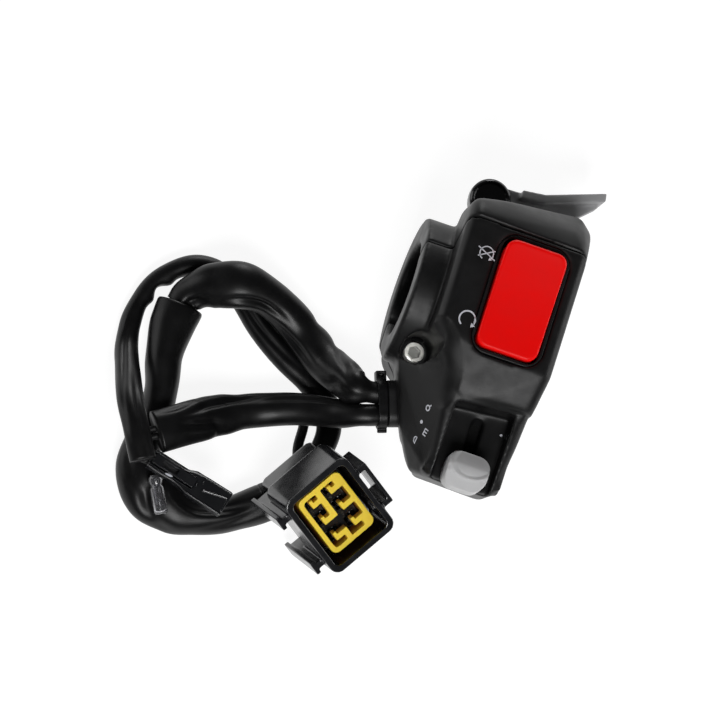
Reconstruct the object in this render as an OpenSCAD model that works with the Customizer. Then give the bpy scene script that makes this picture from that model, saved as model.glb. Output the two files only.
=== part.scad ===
// Handlebar switch cluster: X along the bar, Y along the housing, Z out of its face.

/* [Handlebar clamp] */
// Handlebar diameter
bar_d = 22.2; // [22:0.1:22.4]
// Wall of the clamp ring
ring_wall = 6.2; // [5:0.1:7]
// Length of the clamp bore
bore_len = 36; // [34:0.5:40]
// Clamp screw shank diameter
screw_d = 3; // [2.5:0.1:3.5]
// Clamp screw head diameter
screw_head_d = 5; // [4.6:0.1:5.6]
// Distance of the clamp screws from the bar axis
screw_y = 14.4; // [14:0.1:15.5]
// Angle of the upper parting from the face normal
part_angle = 34; // [30:1:38]

/* [Housing] */
// Face height over the bar axis
face_z = 25; // [24.5:0.1:27]
// Back of the housing below the bar axis
back_z = 18; // [17.5:0.1:20]
// Wall thickness of the shells
wall = 2.2; // [1.8:0.1:2.4]
// Outer edge rounding
edge_r = 2.6; // [2.5:0.1:3]
// Gap between the two shells
part_gap = 0.2; // [0.1:0.05:0.3]
// Lower end of the housing
low_y = 43; // [42.5:0.5:46]
// Upper end of the housing
top_y = 24.6; // [24:0.1:26]

/* [Stop rocker] */
// Rocker width
rocker_w = 14.8; // [13.5:0.1:15.2]
// Rocker length at the frame
rocker_l = 26.3; // [25:0.1:26.6]
// Rocker top over its pin
rocker_h = 9.6; // [9:0.1:10.5]
// Rocker swing from run to off
rocker_swing = 12; // [8:0.5:12]
// Rocker pin diameter
pin_d = 2.4; // [2:0.1:3]
// Gap round the rocker
rocker_gap = 0.35; // [0.3:0.05:0.45]

/* [Light slider] */
// Knob width
knob_w = 9.8; // [8:0.1:10.4]
// Knob length
knob_l = 8.6; // [7.5:0.1:9]
// Slider travel
slide_travel = 8; // [6:0.5:8]
// Knob height over the pocket floor
knob_h = 8.4; // [7:0.1:9.5]

/* [Choke lever] */
// Lever reach from the pivot
lever_reach = 26.4; // [24:0.1:28]
// Pivot bolt head diameter
bolt_head_d = 9.8; // [9:0.1:10.4]
// Pivot bolt shank diameter
bolt_d = 4.4; // [4:0.1:4.6]

/* [Harness] */
// Main lead diameter
main_d = 9; // [8:0.1:9.2]
// Main sleeve diameter
sleeve_d = 9.4; // [9.2:0.1:9.6]
// Light lead diameter
light_d = 7.2; // [6.4:0.1:7.4]
// Branch lead diameter
branch_d = 5.3; // [4.6:0.1:5.6]

/* [Connectors] */
// Six-way connector width
conn_w = 18.6; // [18:0.1:19.4]
// Six-way connector height
conn_h = 22.6; // [21.6:0.1:23.2]
// Six-way connector shroud depth
conn_d = 13; // [12:0.1:14]
// In-line connector length
inline_l = 20.4; // [19:0.1:21.4]
// In-line connector width
inline_w = 6; // [5.6:0.1:6.6]

/* [Hidden] */
eps = 0.01;
bar_r = bar_d / 2;
ring_r = bar_r + ring_wall;
trough_r = bar_r + 2;
half = bore_len / 2;
left_x = -half + 6.4;
right_x = half;
er = edge_r;
zf = face_z - er;
zb = -back_z + er;
low_part_z = -9.2;
pocket_z = face_z - 12.5;
pocket_x0 = -0.8;
pocket_x1 = 13.4;
pocket_y = -26;
knob_x = 6.4;
stem_w = 0.95;
ball_x = 1.9;
rock_x = 5.7;
rock_y = 0.9;
rock_z = face_z - 7;
frame_t = 0.9;
frame_r = 4.2;
frame_in_r = 2.4;
rocker_r = 2.6;
rocker_z = 2.6;
rim_h = 0.6;
opening_z = 16;
frame_w = rocker_w / 2 + rocker_gap + frame_t;
frame_l = rocker_l / 2 + rocker_gap + frame_t;
rest = rocker_swing / 2;
nose_y = 10.5;
nose_z = -1.2;
plunger_gap = 0.3;
plunger_top = rock_z + nose_y * sin(rest) + nose_z * cos(rest) - plunger_gap;
switch_top = plunger_top - 2 * nose_y * sin(rest) - 0.3;
switch_z0 = 9.4;
screw1_x = -half + 6.4;
screw2_x = half - 5;
screw2_y = -(screw_y + 2.4);
head_z = 2;
screw2_end = 6;
piv_x = -5.1;
piv_y = 26.2;
lug_z = -9;
lug_t = 3.4;
lever_z = -4.6;
lever_t = 4;
base_xs = [-0.2, 12];
base_y = -30;
base_t = 1.6;
base_drop = 5.8;
base_z = pocket_z - wall - base_drop;
base_screw_d = 1.6;
carriage_w = 3.4;
carriage_t = 3.8;
carriage_end = 28.6;
carriage_in = 3.6;
shield_w = 2.6;
shield_end = 21.6;
bridge_y = -32.6;
bridge_l = 3.2;
light_ball_y = -33;
contact_y = -32.8;
contact_l = 3;
switch_y0 = 10;
switch_y1 = 15.6;
blade_y = 13;
blade_t = 0.5;
blade_w = 2.4;
blade_x = 5;
detent_y = -11.2;
detent_w = 1.4;
detent_z = rock_z + 1.6 * cos(rest) - 12 * sin(rest) - 1.6;
ball_r = 1.25;
knob_y = -low_y + knob_l / 2 - 1;
stem_y = knob_y + 2.6;
exit_dir = [-0.945, -0.327, 0];
exit_az = 199.1;
exit_at = [-12.2, -26.3, -2];
exit_r = 2.9;
exit_s = 2.6;
grommet_end = 1.2;
tie_w = 2.2;

main_centres = [
  [left_x + er, 15.5, zf], [right_x - er, 15, zf], [left_x + er, -11, zf], [right_x - er, -13.6, zf],
  [left_x + er, 18.4, zf - 3.6], [right_x - er - 2, 19, zf - 4.4],
  [left_x + er, top_y - 3.8 - er, 10], [8, top_y + 0.4 - er, 10], [right_x - er - 1.2, top_y + 2 - er, 11],
  [right_x - er + 0.6, top_y + 0.2 - er, 11],
  [1, -24.6, face_z - 4.4 - er], [right_x - er - 1, -23, face_z - 4.4 - er],
  [left_x + er + 3, 16.6, -4], [right_x - er, 17.6, -4],
  [left_x + er + 3, 12, zb], [right_x - er, 13, zb], [left_x + er, -12, zb], [right_x - er, -12, zb]];
low_centres = [
  [left_x + 4.6 + er, -10, zf - 0.6], [-0.4 - wall + er, -26, face_z - 5.4 - er],
  [-0.4 - wall + er, -low_y + er, face_z - 9 - er],
  [right_x - er - 1, -22, face_z - 5 - er], [right_x - 2.9 - er, -low_y + er, face_z - 9 - er],
  [-half + 3 + er, -17, 6], [-10 + er, -31, 5], [-5.6 + er, -low_y + 1.6 + er, 4],
  [right_x - 2.9 - er, -low_y + 1 + er, 2],
  [-half + 3 + er, -17, zb + 2], [-9 + er, -30, zb + 2], [-3 + er, -36, zb + 2],
  [right_x - 3.5 - er, -36, zb + 2], [right_x - er, -12, zb]];

function unit(v) = v / norm(v);
function ring_at(p, d, r, n) =
  let (t = unit(d), s = unit(cross(abs(t[2]) > 0.9 ? [1, 0, 0] : [0, 0, 1], t)), w = cross(t, s))
  [for (i = [0:n - 1]) p + r * (cos(360 * i / n) * s + sin(360 * i / n) * w)];
function route_dir(p, i) = p[min(i + 1, len(p) - 1)] - p[max(i - 1, 0)];

// Tube with one ring at each route point, d0 and d1 set its end directions
module tube(p, r, n, d0 = [0, 0, 0], d1 = [0, 0, 0]) {
  last = len(p) - 1;
  rings = [for (i = [0:last]) ring_at(p[i],
    i == 0 && norm(d0) > 0 ? d0 : i == last && norm(d1) > 0 ? d1 : route_dir(p, i), r[i], n)];
  polyhedron(
    points = [for (g = rings) each g],
    faces = concat(
      [[for (i = [0:n - 1]) n - 1 - i]],
      [for (k = [0:last - 1]) for (i = [0:n - 1]) each [
        [k * n + i, k * n + (i + 1) % n, (k + 1) * n + (i + 1) % n],
        [k * n + i, (k + 1) * n + (i + 1) % n, (k + 1) * n + i]]],
      [[for (i = [0:n - 1]) last * n + i]]));
}

// Spring wound along Z, one six-sided tube
module coil(r, wire, height, turns) {
  steps = turns * 8;
  p = [for (i = [0:steps]) [r * cos(45 * i), r * sin(45 * i), height * i / steps]];
  tube(p, [for (q = p) wire / 2], 6);
}

module along_x(at, r, h, fn = 48) {
  translate(at) rotate([0, 90, 0]) cylinder(r = r, h = h, $fn = fn);
}

module block(a, b) {
  translate(a) cube(b - a);
}

module rounded(a, b, r, h) {
  x0 = a[0];
  y0 = a[1];
  x1 = b[0];
  y1 = b[1];
  translate([0, 0, a[2]]) linear_extrude(h) union() {
    translate([x0 + r, y0]) square([x1 - x0 - 2 * r, y1 - y0]);
    translate([x0, y0 + r]) square([x1 - x0, y1 - y0 - 2 * r]);
    for (x = [x0 + r, x1 - r]) for (y = [y0 + r, y1 - r]) translate([x, y]) circle(r, $fn = 32);
  }
}

module form(centres, r) {
  hull() for (c = centres) translate(c) sphere(r, $fn = 20);
}

// Side of the parting that belongs to the front shell
module front_side(gap) {
  s = sin(part_angle);
  c = cos(part_angle);
  rotate([90, 0, 90]) translate([0, 0, -60]) linear_extrude(120)
    polygon([[-gap * c, gap * s], [80 * s - gap * c, 80 * c + gap * s], [-90, 90], [-90, low_part_z + gap],
      [low_part_z * tan(part_angle) - gap, low_part_z + gap]]);
}

module outer_body() {
  form(main_centres, er);
  form(low_centres, er);
  along_x([-half, 0, 0], ring_r, bore_len - 2, 96);
  translate([screw1_x, -screw_y, -back_z]) cylinder(r = 4.6, h = back_z + head_z + 3, $fn = 48);
}

module chamber() {
  difference() {
    union() {
      form(main_centres, er - wall);
      form(low_centres, er - wall);
    }
    along_x([-half - 1, 0, 0], trough_r, bore_len + 2, 96);
    along_x([-half - 1, 0, 0], ring_r + 1, left_x + half + 1 + wall, 48);
    translate([screw1_x, -screw_y, -40]) cylinder(r = 4.6, h = 80, $fn = 48);
    translate([screw2_x, screw2_y, -40]) cylinder(r = 3.4, h = 42 + screw2_end, $fn = 48);
  }
}

module housing_cuts() {
  along_x([-half - 1, 0, 0], bar_r, bore_len + 4, 96);
  translate([screw1_x, -screw_y, head_z]) cylinder(d = screw_head_d + 2.4, h = 30, $fn = 48);
  translate([screw1_x, -screw_y, -back_z + 1.2]) cylinder(d = screw_d + 0.1, h = 30, $fn = 32);
  translate([screw2_x, screw2_y, -back_z - 1]) cylinder(d = screw_head_d + 2, h = 5.2, $fn = 48);
  translate([screw2_x, screw2_y, -back_z]) cylinder(d = screw_d + 0.1, h = back_z + screw2_end, $fn = 32);
  rounded([rock_x - frame_w, rock_y - frame_l, opening_z], [rock_x + frame_w, rock_y + frame_l, 0],
    frame_r, 2 * (face_z - opening_z));
}

// Front half: face, rocker opening, slider pocket and half of the clamp
module front_shell() {
  color([0.09, 0.09, 0.1]) difference() {
    union() {
      intersection() {
        difference() {
          outer_body();
          chamber();
        }
        front_side(part_gap / 2);
      }
      block([pocket_x0 - wall, -low_y + 1.4, pocket_z - wall],
        [pocket_x1 + wall, pocket_y + wall, pocket_z + 1]);
      block([pocket_x0 - wall, pocket_y, pocket_z - wall], [pocket_x1 + wall, pocket_y + wall, face_z - 5.6]);
      block([pocket_x0 - wall, -low_y + 2, pocket_z - wall], [pocket_x0, pocket_y + wall, face_z - 9.6]);
      block([pocket_x1, -low_y + 2, pocket_z - wall], [pocket_x1 + wall, pocket_y + wall, face_z - 9.6]);
      for (x = base_xs) translate([x, base_y, base_z]) cylinder(r = 1.9, h = base_drop + 1, $fn = 32);
    }
    housing_cuts();
    block([pocket_x0, -low_y - 5, pocket_z], [pocket_x1, pocket_y, face_z + 5]);
    block([knob_x - stem_w - 0.3, stem_y - 1.8, pocket_z - 4],
      [knob_x + stem_w + 0.3, stem_y + 1.8 + slide_travel, pocket_z + 1]);
    for (x = base_xs) translate([x, base_y, base_z - 0.5]) cylinder(d = base_screw_d, h = 5, $fn = 24);
    translate(exit_at) rotate([0, 0, exit_az]) translate([-9, 0, 0]) rotate([0, 90, 0])
      linear_extrude(20) exit_shape(0);
  }
}

// Rear half: back, top and the lug of the choke lever
module rear_shell() {
  color([0.1, 0.1, 0.11]) difference() {
    union() {
      difference() {
        intersection() {
          difference() {
            outer_body();
            chamber();
          }
          block([-60, -90, -60], [60, 90, 60]);
        }
        front_side(-part_gap / 2);
      }
      block([piv_x - 2.2, 16.5, lug_z], [piv_x + 2.2, piv_y, lug_z + lug_t]);
      translate([piv_x, piv_y, lug_z]) cylinder(r = 3.4, h = lug_t, $fn = 48);
      rotate([-part_angle, 0, 0]) hook_lip();
    }
    housing_cuts();
    translate([piv_x, piv_y, lug_z - 1]) cylinder(d = bolt_d, h = 8, $fn = 48);
  }
}

// Lip of the rear half that hooks behind the face at the parting
module hook_lip() {
  r = (face_z - wall) / cos(part_angle);
  block([-8.4, -2.6, r - 3.4], [-4.4, 3, r - 2.1]);
  block([-8.4, 0.4, r - 3.4], [-4.4, 3, r + 0.6]);
}

module hex_screw(length) {
  difference() {
    union() {
      translate([0, 0, -length]) cylinder(d = screw_d, h = length + 0.5, $fn = 32);
      cylinder(d = screw_head_d, h = 2.4, $fn = 48);
    }
    translate([0, 0, 1]) cylinder(d = 2.9, h = 3, $fn = 6);
  }
}

// Front screw at the ring, rear screw at the far end
module clamp_screws() {
  color([0.75, 0.76, 0.78]) {
    translate([screw1_x, -screw_y, head_z]) hex_screw(head_z + back_z - 2.4);
    translate([screw2_x, screw2_y, -back_z + 4.2]) rotate([180, 0, 0]) hex_screw(back_z - 5.2 + screw2_end);
  }
}

// Frame in the face with legs for the pin, the switch and the detent
module rocker_frame() {
  x0 = rock_x - frame_w;
  x1 = rock_x + frame_w;
  inner_x = rocker_w / 2 + rocker_gap;
  color([0.05, 0.05, 0.055]) difference() {
    union() {
      rounded([x0, rock_y - frame_l, face_z - 4], [x1, rock_y + frame_l, 0], frame_r, 3.8);
      for (s = [-1, 1]) {
        xa = s > 0 ? rock_x + inner_x : x0;
        xb = s > 0 ? x1 : rock_x - inner_x;
        block([xa, rock_y - 3, rock_z - 2.6], [xb, rock_y + 3, face_z - 3]);
        block([xa, switch_y0, switch_z0], [xb, switch_y1 - 1.8, face_z - 3]);
        block([xa, detent_y - detent_w, switch_z0], [xb, detent_y + detent_w, face_z - 3]);
      }
      block([x0, detent_y - detent_w, switch_z0], [x1, detent_y + detent_w, detent_z]);
    }
    rounded([rock_x - inner_x, rock_y - rocker_l / 2 - rocker_gap, face_z - 6],
      [rock_x + inner_x, rock_y + rocker_l / 2 + rocker_gap, 0], frame_in_r, 10);
    along_x([x0 - 1, rock_y, rock_z], pin_d / 2, 2 * frame_w + 2, 32);
    translate([rock_x, detent_y, switch_z0 + 0.8]) cylinder(r = ball_r + 0.05, h = 20, $fn = 32);
  }
}

module rocker_pin() {
  color([0.7, 0.71, 0.73]) along_x([rock_x - frame_w, rock_y, rock_z], pin_d / 2, 2 * frame_w, 32);
}

// Red rocker, drawn level and turned to the run side
module stop_rocker() {
  w = rocker_w / 2;
  l = rocker_l / 2;
  low_l = (l - rocker_z * sin(rest)) / cos(rest);
  mid_l = (l - (rocker_h - rim_h) * sin(rest)) / cos(rest);
  top_l = (l - rocker_h * sin(rest)) / cos(rest) - rim_h / 2;
  color([0.85, 0.05, 0.04]) translate([rock_x, rock_y, rock_z]) rotate([rest, 0, 0]) difference() {
    union() {
      hull() {
        rounded([-w, -low_l, rocker_z], [w, low_l, 0], rocker_r, eps);
        rounded([-w, -mid_l, rocker_h - rim_h], [w, mid_l, 0], rocker_r, eps);
        rounded([-w + rim_h, -top_l, rocker_h - eps], [w - rim_h, top_l, 0], rocker_r - rim_h, eps);
      }
      along_x([-w, 0, 0], 3, rocker_w, 48);
      block([-w, -2, 0], [w, 2, 4]);
      block([-2, nose_y - 1.5, nose_z + 0.6], [2, nose_y + 1.5, 4]);
      along_x([-2, nose_y, nose_z + 1], 1, 4, 32);
      block([-1.6, -12, 1.6], [1.6, -9.4, 4]);
    }
    along_x([-w - 1, 0, 0], pin_d / 2 + 0.05, rocker_w + 2, 32);
    along_x([-w - 1, 0, rocker_h + 119.4], 120, rocker_w + 2, 180);
  }
}

// Plunger switch held between the legs of the frame
module stop_switch_body() {
  wx = rocker_w / 2 + rocker_gap;
  color([0.16, 0.16, 0.17]) difference() {
    block([rock_x - wx, switch_y0, switch_z0], [rock_x + wx, switch_y1, switch_top]);
    translate([rock_x, rock_y + nose_y, switch_z0 + 0.8]) cylinder(d = 3.1, h = 20, $fn = 32);
    blade_pair(switch_z0 - 1);
  }
}

module stop_plunger() {
  color([0.8, 0.78, 0.7]) translate([rock_x, rock_y + nose_y, plunger_top]) {
    translate([0, 0, -3.8]) cylinder(d = 3, h = 3, $fn = 32);
    translate([0, 0, -0.8]) cylinder(d1 = 3, d2 = 1.6, h = 0.8, $fn = 32);
  }
}

module stop_plunger_spring() {
  color([0.72, 0.73, 0.75]) translate([rock_x, rock_y + nose_y, switch_z0 + 0.95]) coil(0.95, 0.3, 0.8, 3);
}

module stop_blades() {
  color([0.78, 0.62, 0.28]) blade_pair(switch_z0 - 2.2);
}

// Both blades of the stop switch from height z up
module blade_pair(z) {
  for (x = [-blade_x, blade_x])
    block([rock_x + x - blade_w / 2, blade_y, z],
      [rock_x + x + blade_w / 2, blade_y + blade_t, switch_top - 1]);
}

module stop_detent_ball() {
  color([0.75, 0.76, 0.78]) translate([rock_x, detent_y, detent_z]) sphere(ball_r, $fn = 24);
}

module stop_detent_spring() {
  color([0.72, 0.73, 0.75]) translate([rock_x, detent_y, switch_z0 + 1])
    coil(0.95, 0.3, detent_z - ball_r - 0.2 - switch_z0 - 1, 4);
}

// Grey knob with a scooped upper slope and a stem through the slot
module light_knob() {
  w = knob_w / 2;
  l = knob_l / 2;
  color([0.68, 0.68, 0.69]) difference() {
    union() {
      translate([knob_x, knob_y, pocket_z + 0.3]) intersection() {
        rounded([-w, -l, 0], [w, l, 0], 2.8, knob_h);
        rotate([90, 0, 90]) translate([0, 0, -10]) linear_extrude(20)
          polygon([[-l, 0], [l, 0], [l, knob_h - 3], [0.4, knob_h], [-1.6, knob_h - 0.2], [-l, knob_h - 3.4]]);
      }
      block([knob_x - stem_w, stem_y - 1.5, pocket_z - wall - 0.4],
        [knob_x + stem_w, stem_y + 1.5, pocket_z + 1]);
    }
    translate([knob_x, knob_y + 9.2, pocket_z + knob_h + 7.2]) sphere(10, $fn = 48);
  }
}

module light_carriage() {
  color([0.12, 0.12, 0.13]) difference() {
    union() {
      block([knob_x - carriage_w, -low_y + carriage_in, pocket_z - wall - carriage_t],
        [knob_x + carriage_w, -carriage_end, pocket_z - wall - 0.3]);
      block([knob_x - shield_w, -carriage_end - 1.4, pocket_z - wall - 1.1],
        [knob_x + shield_w, -shield_end, pocket_z - wall - 0.3]);
    }
    block([knob_x - stem_w, stem_y - 1.5, pocket_z - wall - 0.4 - eps],
      [knob_x + stem_w, stem_y + 1.5, pocket_z]);
    translate([knob_x + ball_x, light_ball_y, pocket_z - wall - 5]) cylinder(d = 1.9, h = 4, $fn = 24);
    block([knob_x - 2.8, bridge_y, pocket_z - wall - 5],
      [knob_x - 0.2, bridge_y + bridge_l, pocket_z - wall - 3]);
  }
}

module light_bridge() {
  z = pocket_z - wall - 3;
  color([0.78, 0.62, 0.28]) {
    block([knob_x - 2.8, bridge_y, z - 0.5], [knob_x - 0.2, bridge_y + bridge_l, z]);
    for (y = [0.2, bridge_l - 1])
      block([knob_x - 2.6, bridge_y + y, z - 2.2], [knob_x - 0.6, bridge_y + y + 0.8, z - 0.4]);
  }
}

module light_base() {
  color([0.2, 0.16, 0.1]) difference() {
    union() {
      block([-2, -low_y + 5, base_z - base_t], [10.8, -20.4, base_z]);
      block([-2, base_y - 2, base_z - base_t], [13.4, base_y + 2, base_z]);
    }
    for (x = base_xs) translate([x, base_y, 0]) cylinder(d = base_screw_d + 0.2, h = 10, $fn = 24);
    contact_row(1);
    for (i = [0:2]) translate([knob_x + ball_x, light_ball_y + i * slide_travel / 2, base_z])
      sphere(0.7, $fn = 24);
  }
}

module light_contacts() {
  color([0.78, 0.62, 0.28]) contact_row(0.2);
}

// One contact at each place of the slider, up to height h over the base
module contact_row(h) {
  for (i = [0:2]) translate([0, contact_y + i * slide_travel / 2, 0])
    block([knob_x - carriage_w, 0, base_z - 0.5], [knob_x, contact_l, base_z + h]);
}

module light_base_screws() {
  color([0.7, 0.71, 0.73]) for (x = base_xs) translate([x, base_y, base_z - base_t]) {
    cylinder(d = base_screw_d, h = 6, $fn = 24);
    translate([0, 0, -1.2]) cylinder(d = 3, h = 1.2, $fn = 32);
  }
}

module light_detent_ball() {
  color([0.75, 0.76, 0.78]) translate([knob_x + ball_x, light_ball_y, pocket_z - wall - 4.7])
    sphere(0.8, $fn = 24);
}

module light_detent_spring() {
  color([0.72, 0.73, 0.75]) translate([knob_x + ball_x, light_ball_y, pocket_z - wall - 3.7])
    coil(0.6, 0.25, 2.4, 4);
}

// Choke lever: hub, web and thumb flange
module choke_lever() {
  a = 19.5;
  tip = lever_reach;
  color([0.42, 0.42, 0.43]) translate([piv_x, piv_y, lever_z]) difference() {
    union() {
      cylinder(r = 4.3, h = lever_t, $fn = 48);
      linear_extrude(lever_t)
        polygon([[-1, 4.1], [6.6, 4.5], [12, 5.2], [tip * cos(a) + 0.6, tip * sin(a) + 1.2],
          [tip * cos(a), tip * sin(a) - 2], [21.4, 3.4], [10, -2], [1, -4.1]]);
      translate([0, 0, -3.4]) linear_extrude(lever_t + 7)
        polygon([[6.6, 2.6], [6.6, 4.5], [12, 5.2], [tip * cos(a) + 0.7, tip * sin(a) + 1.4],
          [tip * cos(a) + 1, tip * sin(a) - 0.6], [12.4, 3.2]]);
    }
    translate([0, 0, -5]) cylinder(d = bolt_d + 2.1, h = 20, $fn = 48);
  }
}

module lever_bush() {
  color([0.75, 0.7, 0.5]) translate([piv_x, piv_y, lever_z - 0.2]) difference() {
    cylinder(d = bolt_d + 2, h = lever_t + 0.4, $fn = 48);
    translate([0, 0, -1]) cylinder(d = bolt_d, h = 8, $fn = 48);
  }
}

module lever_washer() {
  color([0.7, 0.71, 0.73]) translate([piv_x, piv_y, lug_z + lug_t]) difference() {
    cylinder(d = bolt_head_d - 2, h = lever_z - lug_z - lug_t - 0.2, $fn = 48);
    translate([0, 0, -1]) cylinder(d = bolt_d, h = 8, $fn = 48);
  }
}

// Black pivot bolt with a dished head
module lever_bolt() {
  z = lever_z + lever_t + 0.2;
  color([0.03, 0.03, 0.035]) translate([piv_x, piv_y, 0]) difference() {
    union() {
      translate([0, 0, lug_z]) cylinder(d = bolt_d, h = z - lug_z + 1, $fn = 48);
      translate([0, 0, z]) cylinder(d = bolt_head_d, h = 2.4, $fn = 64);
      translate([0, 0, z + 2.4]) cylinder(d1 = bolt_head_d, d2 = bolt_head_d - 1.2, h = 0.6, $fn = 64);
    }
    translate([0, 0, z + 2.2]) cylinder(d = bolt_head_d - 2, h = 3, $fn = 64);
  }
}

// Stadium section of the harness exit, across the exit direction
module exit_shape(grow) {
  for (y = [-exit_s, exit_s]) translate([0, y]) circle(exit_r + grow, $fn = 32);
  translate([-exit_r - grow, -exit_s]) square([2 * (exit_r + grow), 2 * exit_s]);
}

module at_exit(d) {
  translate(exit_at + exit_dir * d) rotate([0, 0, exit_az]) rotate([0, 90, 0]) children();
}

module exit_grommet() {
  color([0.06, 0.06, 0.065]) {
    at_exit(-4.5) linear_extrude(4.5 + grommet_end) exit_shape(0);
  }
}

module cable_tie() {
  color([0.04, 0.04, 0.045]) at_exit(grommet_end + 0.2) {
    difference() {
      linear_extrude(tie_w) exit_shape(0.4);
      translate([0, 0, -1]) linear_extrude(5) exit_shape(-0.3);
    }
    difference() {
      translate([-1.5, -7.6, -0.1]) cube([3, 2.3, tie_w + 0.2]);
      translate([-3, -7, 0.5]) cube([2.4, 0.8, tie_w - 1]);
    }
    translate([-0.5, 5.6, 0]) cube([1, 1.2, tie_w]);
  }
}

// Wires inside the housing, from both switches to the grommet
module inner_leads() {
  color([0.1, 0.1, 0.1]) {
    tube(lead_a, [for (q = lead_a) 0.8], 8);
    tube(lead_b, [for (q = lead_b) 0.8], 8);
  }
}
lead_a = [[0.7, 13.25, 6.4], [-2, 14.6, 6], [-4.6, 13.4, 10], [-5, 8, 15], [-5, 0, 16.4], [-5, -8, 15],
  [-5, -14.6, 7.4], [-5.4, -20, 1.4], [-7.6, -24.4, -2]];
lead_b = [[4, -30, 2.1], [0, -29, -1], [-4, -27.4, -2.6], [-7, -26.4, -3.6]];

// Point at distance d along the exit and s across it
function exit_point(d, s) = exit_at + exit_dir * d + s * [exit_dir[1], -exit_dir[0], 0];

inline_at = [-51.8, -59, -3.6];
inline_az = -14;
bullet_at = [-59.3, -59.4, -6.6];
bullet_az = -62;
bullet_r = 1.65;
bullet_l = 9.2;
// Point of the in-line connector at x along it and y across it
function inline_point(x, y) = inline_at
  + [cos(inline_az) * x - sin(inline_az) * y, sin(inline_az) * x + cos(inline_az) * y, 0];

main_route = concat([exit_point(grommet_end, exit_s), exit_point(grommet_end + tie_w + 0.6, exit_s),
  exit_point(8.4, exit_s + 1.2)], [[-24.4, -23.6, -4.8], [-29, -20.4, -9.8],
  [-35, -15.6, -12], [-41.4, -12, -11], [-48, -10.2, -8.8], [-54, -10.2, -7.8], [-60, -12.2, -10],
  [-63.6, -15.4, -12.4], [-64.8, -18.4, -13.2]]);
sleeve_route = [[-64.8, -18.4, -13.2], [-65.2, -24, -13.2], [-64.8, -31, -13.2], [-63.2, -38, -13.2],
  [-62.8, -45, -13.2], [-63.4, -52, -13.2], [-62.8, -58, -13.2], [-60, -62.6, -13.2], [-55, -65.2, -13.2],
  [-48, -65.2, -13.2], [-41.4, -62.6, -13.2], [-36.6, -59.4, -13.2], [-32.4, -56, -13.2]];
light_route = concat([exit_point(grommet_end, -exit_s), exit_point(7.4, -exit_s)], [[-24, -32, -6],
  [-32, -33.2, -9.6], [-41, -36.4, -11.4], [-50, -41.2, -9], [-53, -43.4, -7.6], [-57.6, -46.8, -5.6],
  [-62, -50, -4.7]]);
light_end_dir = [-0.8, -0.58, 0.12];
wire_routes = [for (side = [-0.9, 0.9]) [[-62 + 0.58 * side, -50 - 0.8 * side, -4.7],
  [-64.8 + 0.83 * side, -51.8 - 0.55 * side, -4.6], [-66 + side, -54.2, -4.4],
  [-64.6 + 0.7 * side, -56.2 + 0.7 * side, -3.9], inline_point(-inline_l / 2 - 0.05, 1.2 * side)]];
branch_route = [[-63.9, -58.6, 2.2], [-67.3, -52.4, 1.8], [-70.4, -45.6, -1.4], [-72.2, -38.4, -8],
  [-73.8, -31, -14], [-74.4, -24, -15.3], [-73.2, -17, -15.3], [-69.4, -11.2, -15.3], [-64, -7.6, -15.3],
  [-58, -7.6, -15.3], [-51.8, -11.2, -15.3], [-45.4, -16.6, -15.3], [-37.8, -21.4, -15.3],
  [-30.8, -24.8, -15.3], [-25.4, -28.6, -15.3], [-22.8, -34, -15.3], [-23, -40, -15.3], [-24.6, -45, -15]];
mouth_dir = [-0.25, -0.95, -0.1];
boot_main_dir = [0.78, 0.62, 0.06];
boot_branch_dir = [-0.3, -0.95, 0.06];

module main_lead() {
  r = main_d / 2;
  color([0.05, 0.05, 0.055])
    tube(main_route, [for (i = [0:len(main_route) - 1])
      i < 2 ? exit_r - 0.3 : i == 2 ? (exit_r + r) / 2 : r], 12, exit_dir, mouth_dir);
}

module main_sleeve() {
  color([0.05, 0.05, 0.055])
    tube(sleeve_route, [for (q = sleeve_route) sleeve_d / 2], 12, mouth_dir, boot_main_dir);
}

module light_lead() {
  r = light_d / 2;
  color([0.05, 0.05, 0.055])
    tube(light_route, [for (i = [0:len(light_route) - 1]) i < 2 ? exit_r - 0.3 : r], 10, exit_dir,
      light_end_dir);
}

// Two thin wires from the light lead into the in-line connector
module inline_wires() {
  color([0.1, 0.1, 0.1]) for (p = wire_routes)
    tube(p, [for (q = p) 0.75], 8, light_end_dir, [cos(inline_az), sin(inline_az), 0]);
}

module branch_lead() {
  color([0.05, 0.05, 0.055])
    tube(branch_route, [for (q = branch_route) branch_d / 2], 8, [-0.35, 0.93, 0.1], boot_branch_dir);
}

conn_at = [-17, -57, 7.4];
conn_tilt = 26;
conn_az = -46;
conn_spin = 106;
way_xs = [-3, 2.4];
way_ys = [-5, 0, 5];
retainer_in = 2.6;
finger_t = 2.2;
module at_connector() {
  translate(conn_at) rotate([0, conn_tilt, conn_az]) rotate([0, 0, conn_spin]) children();
}

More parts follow.
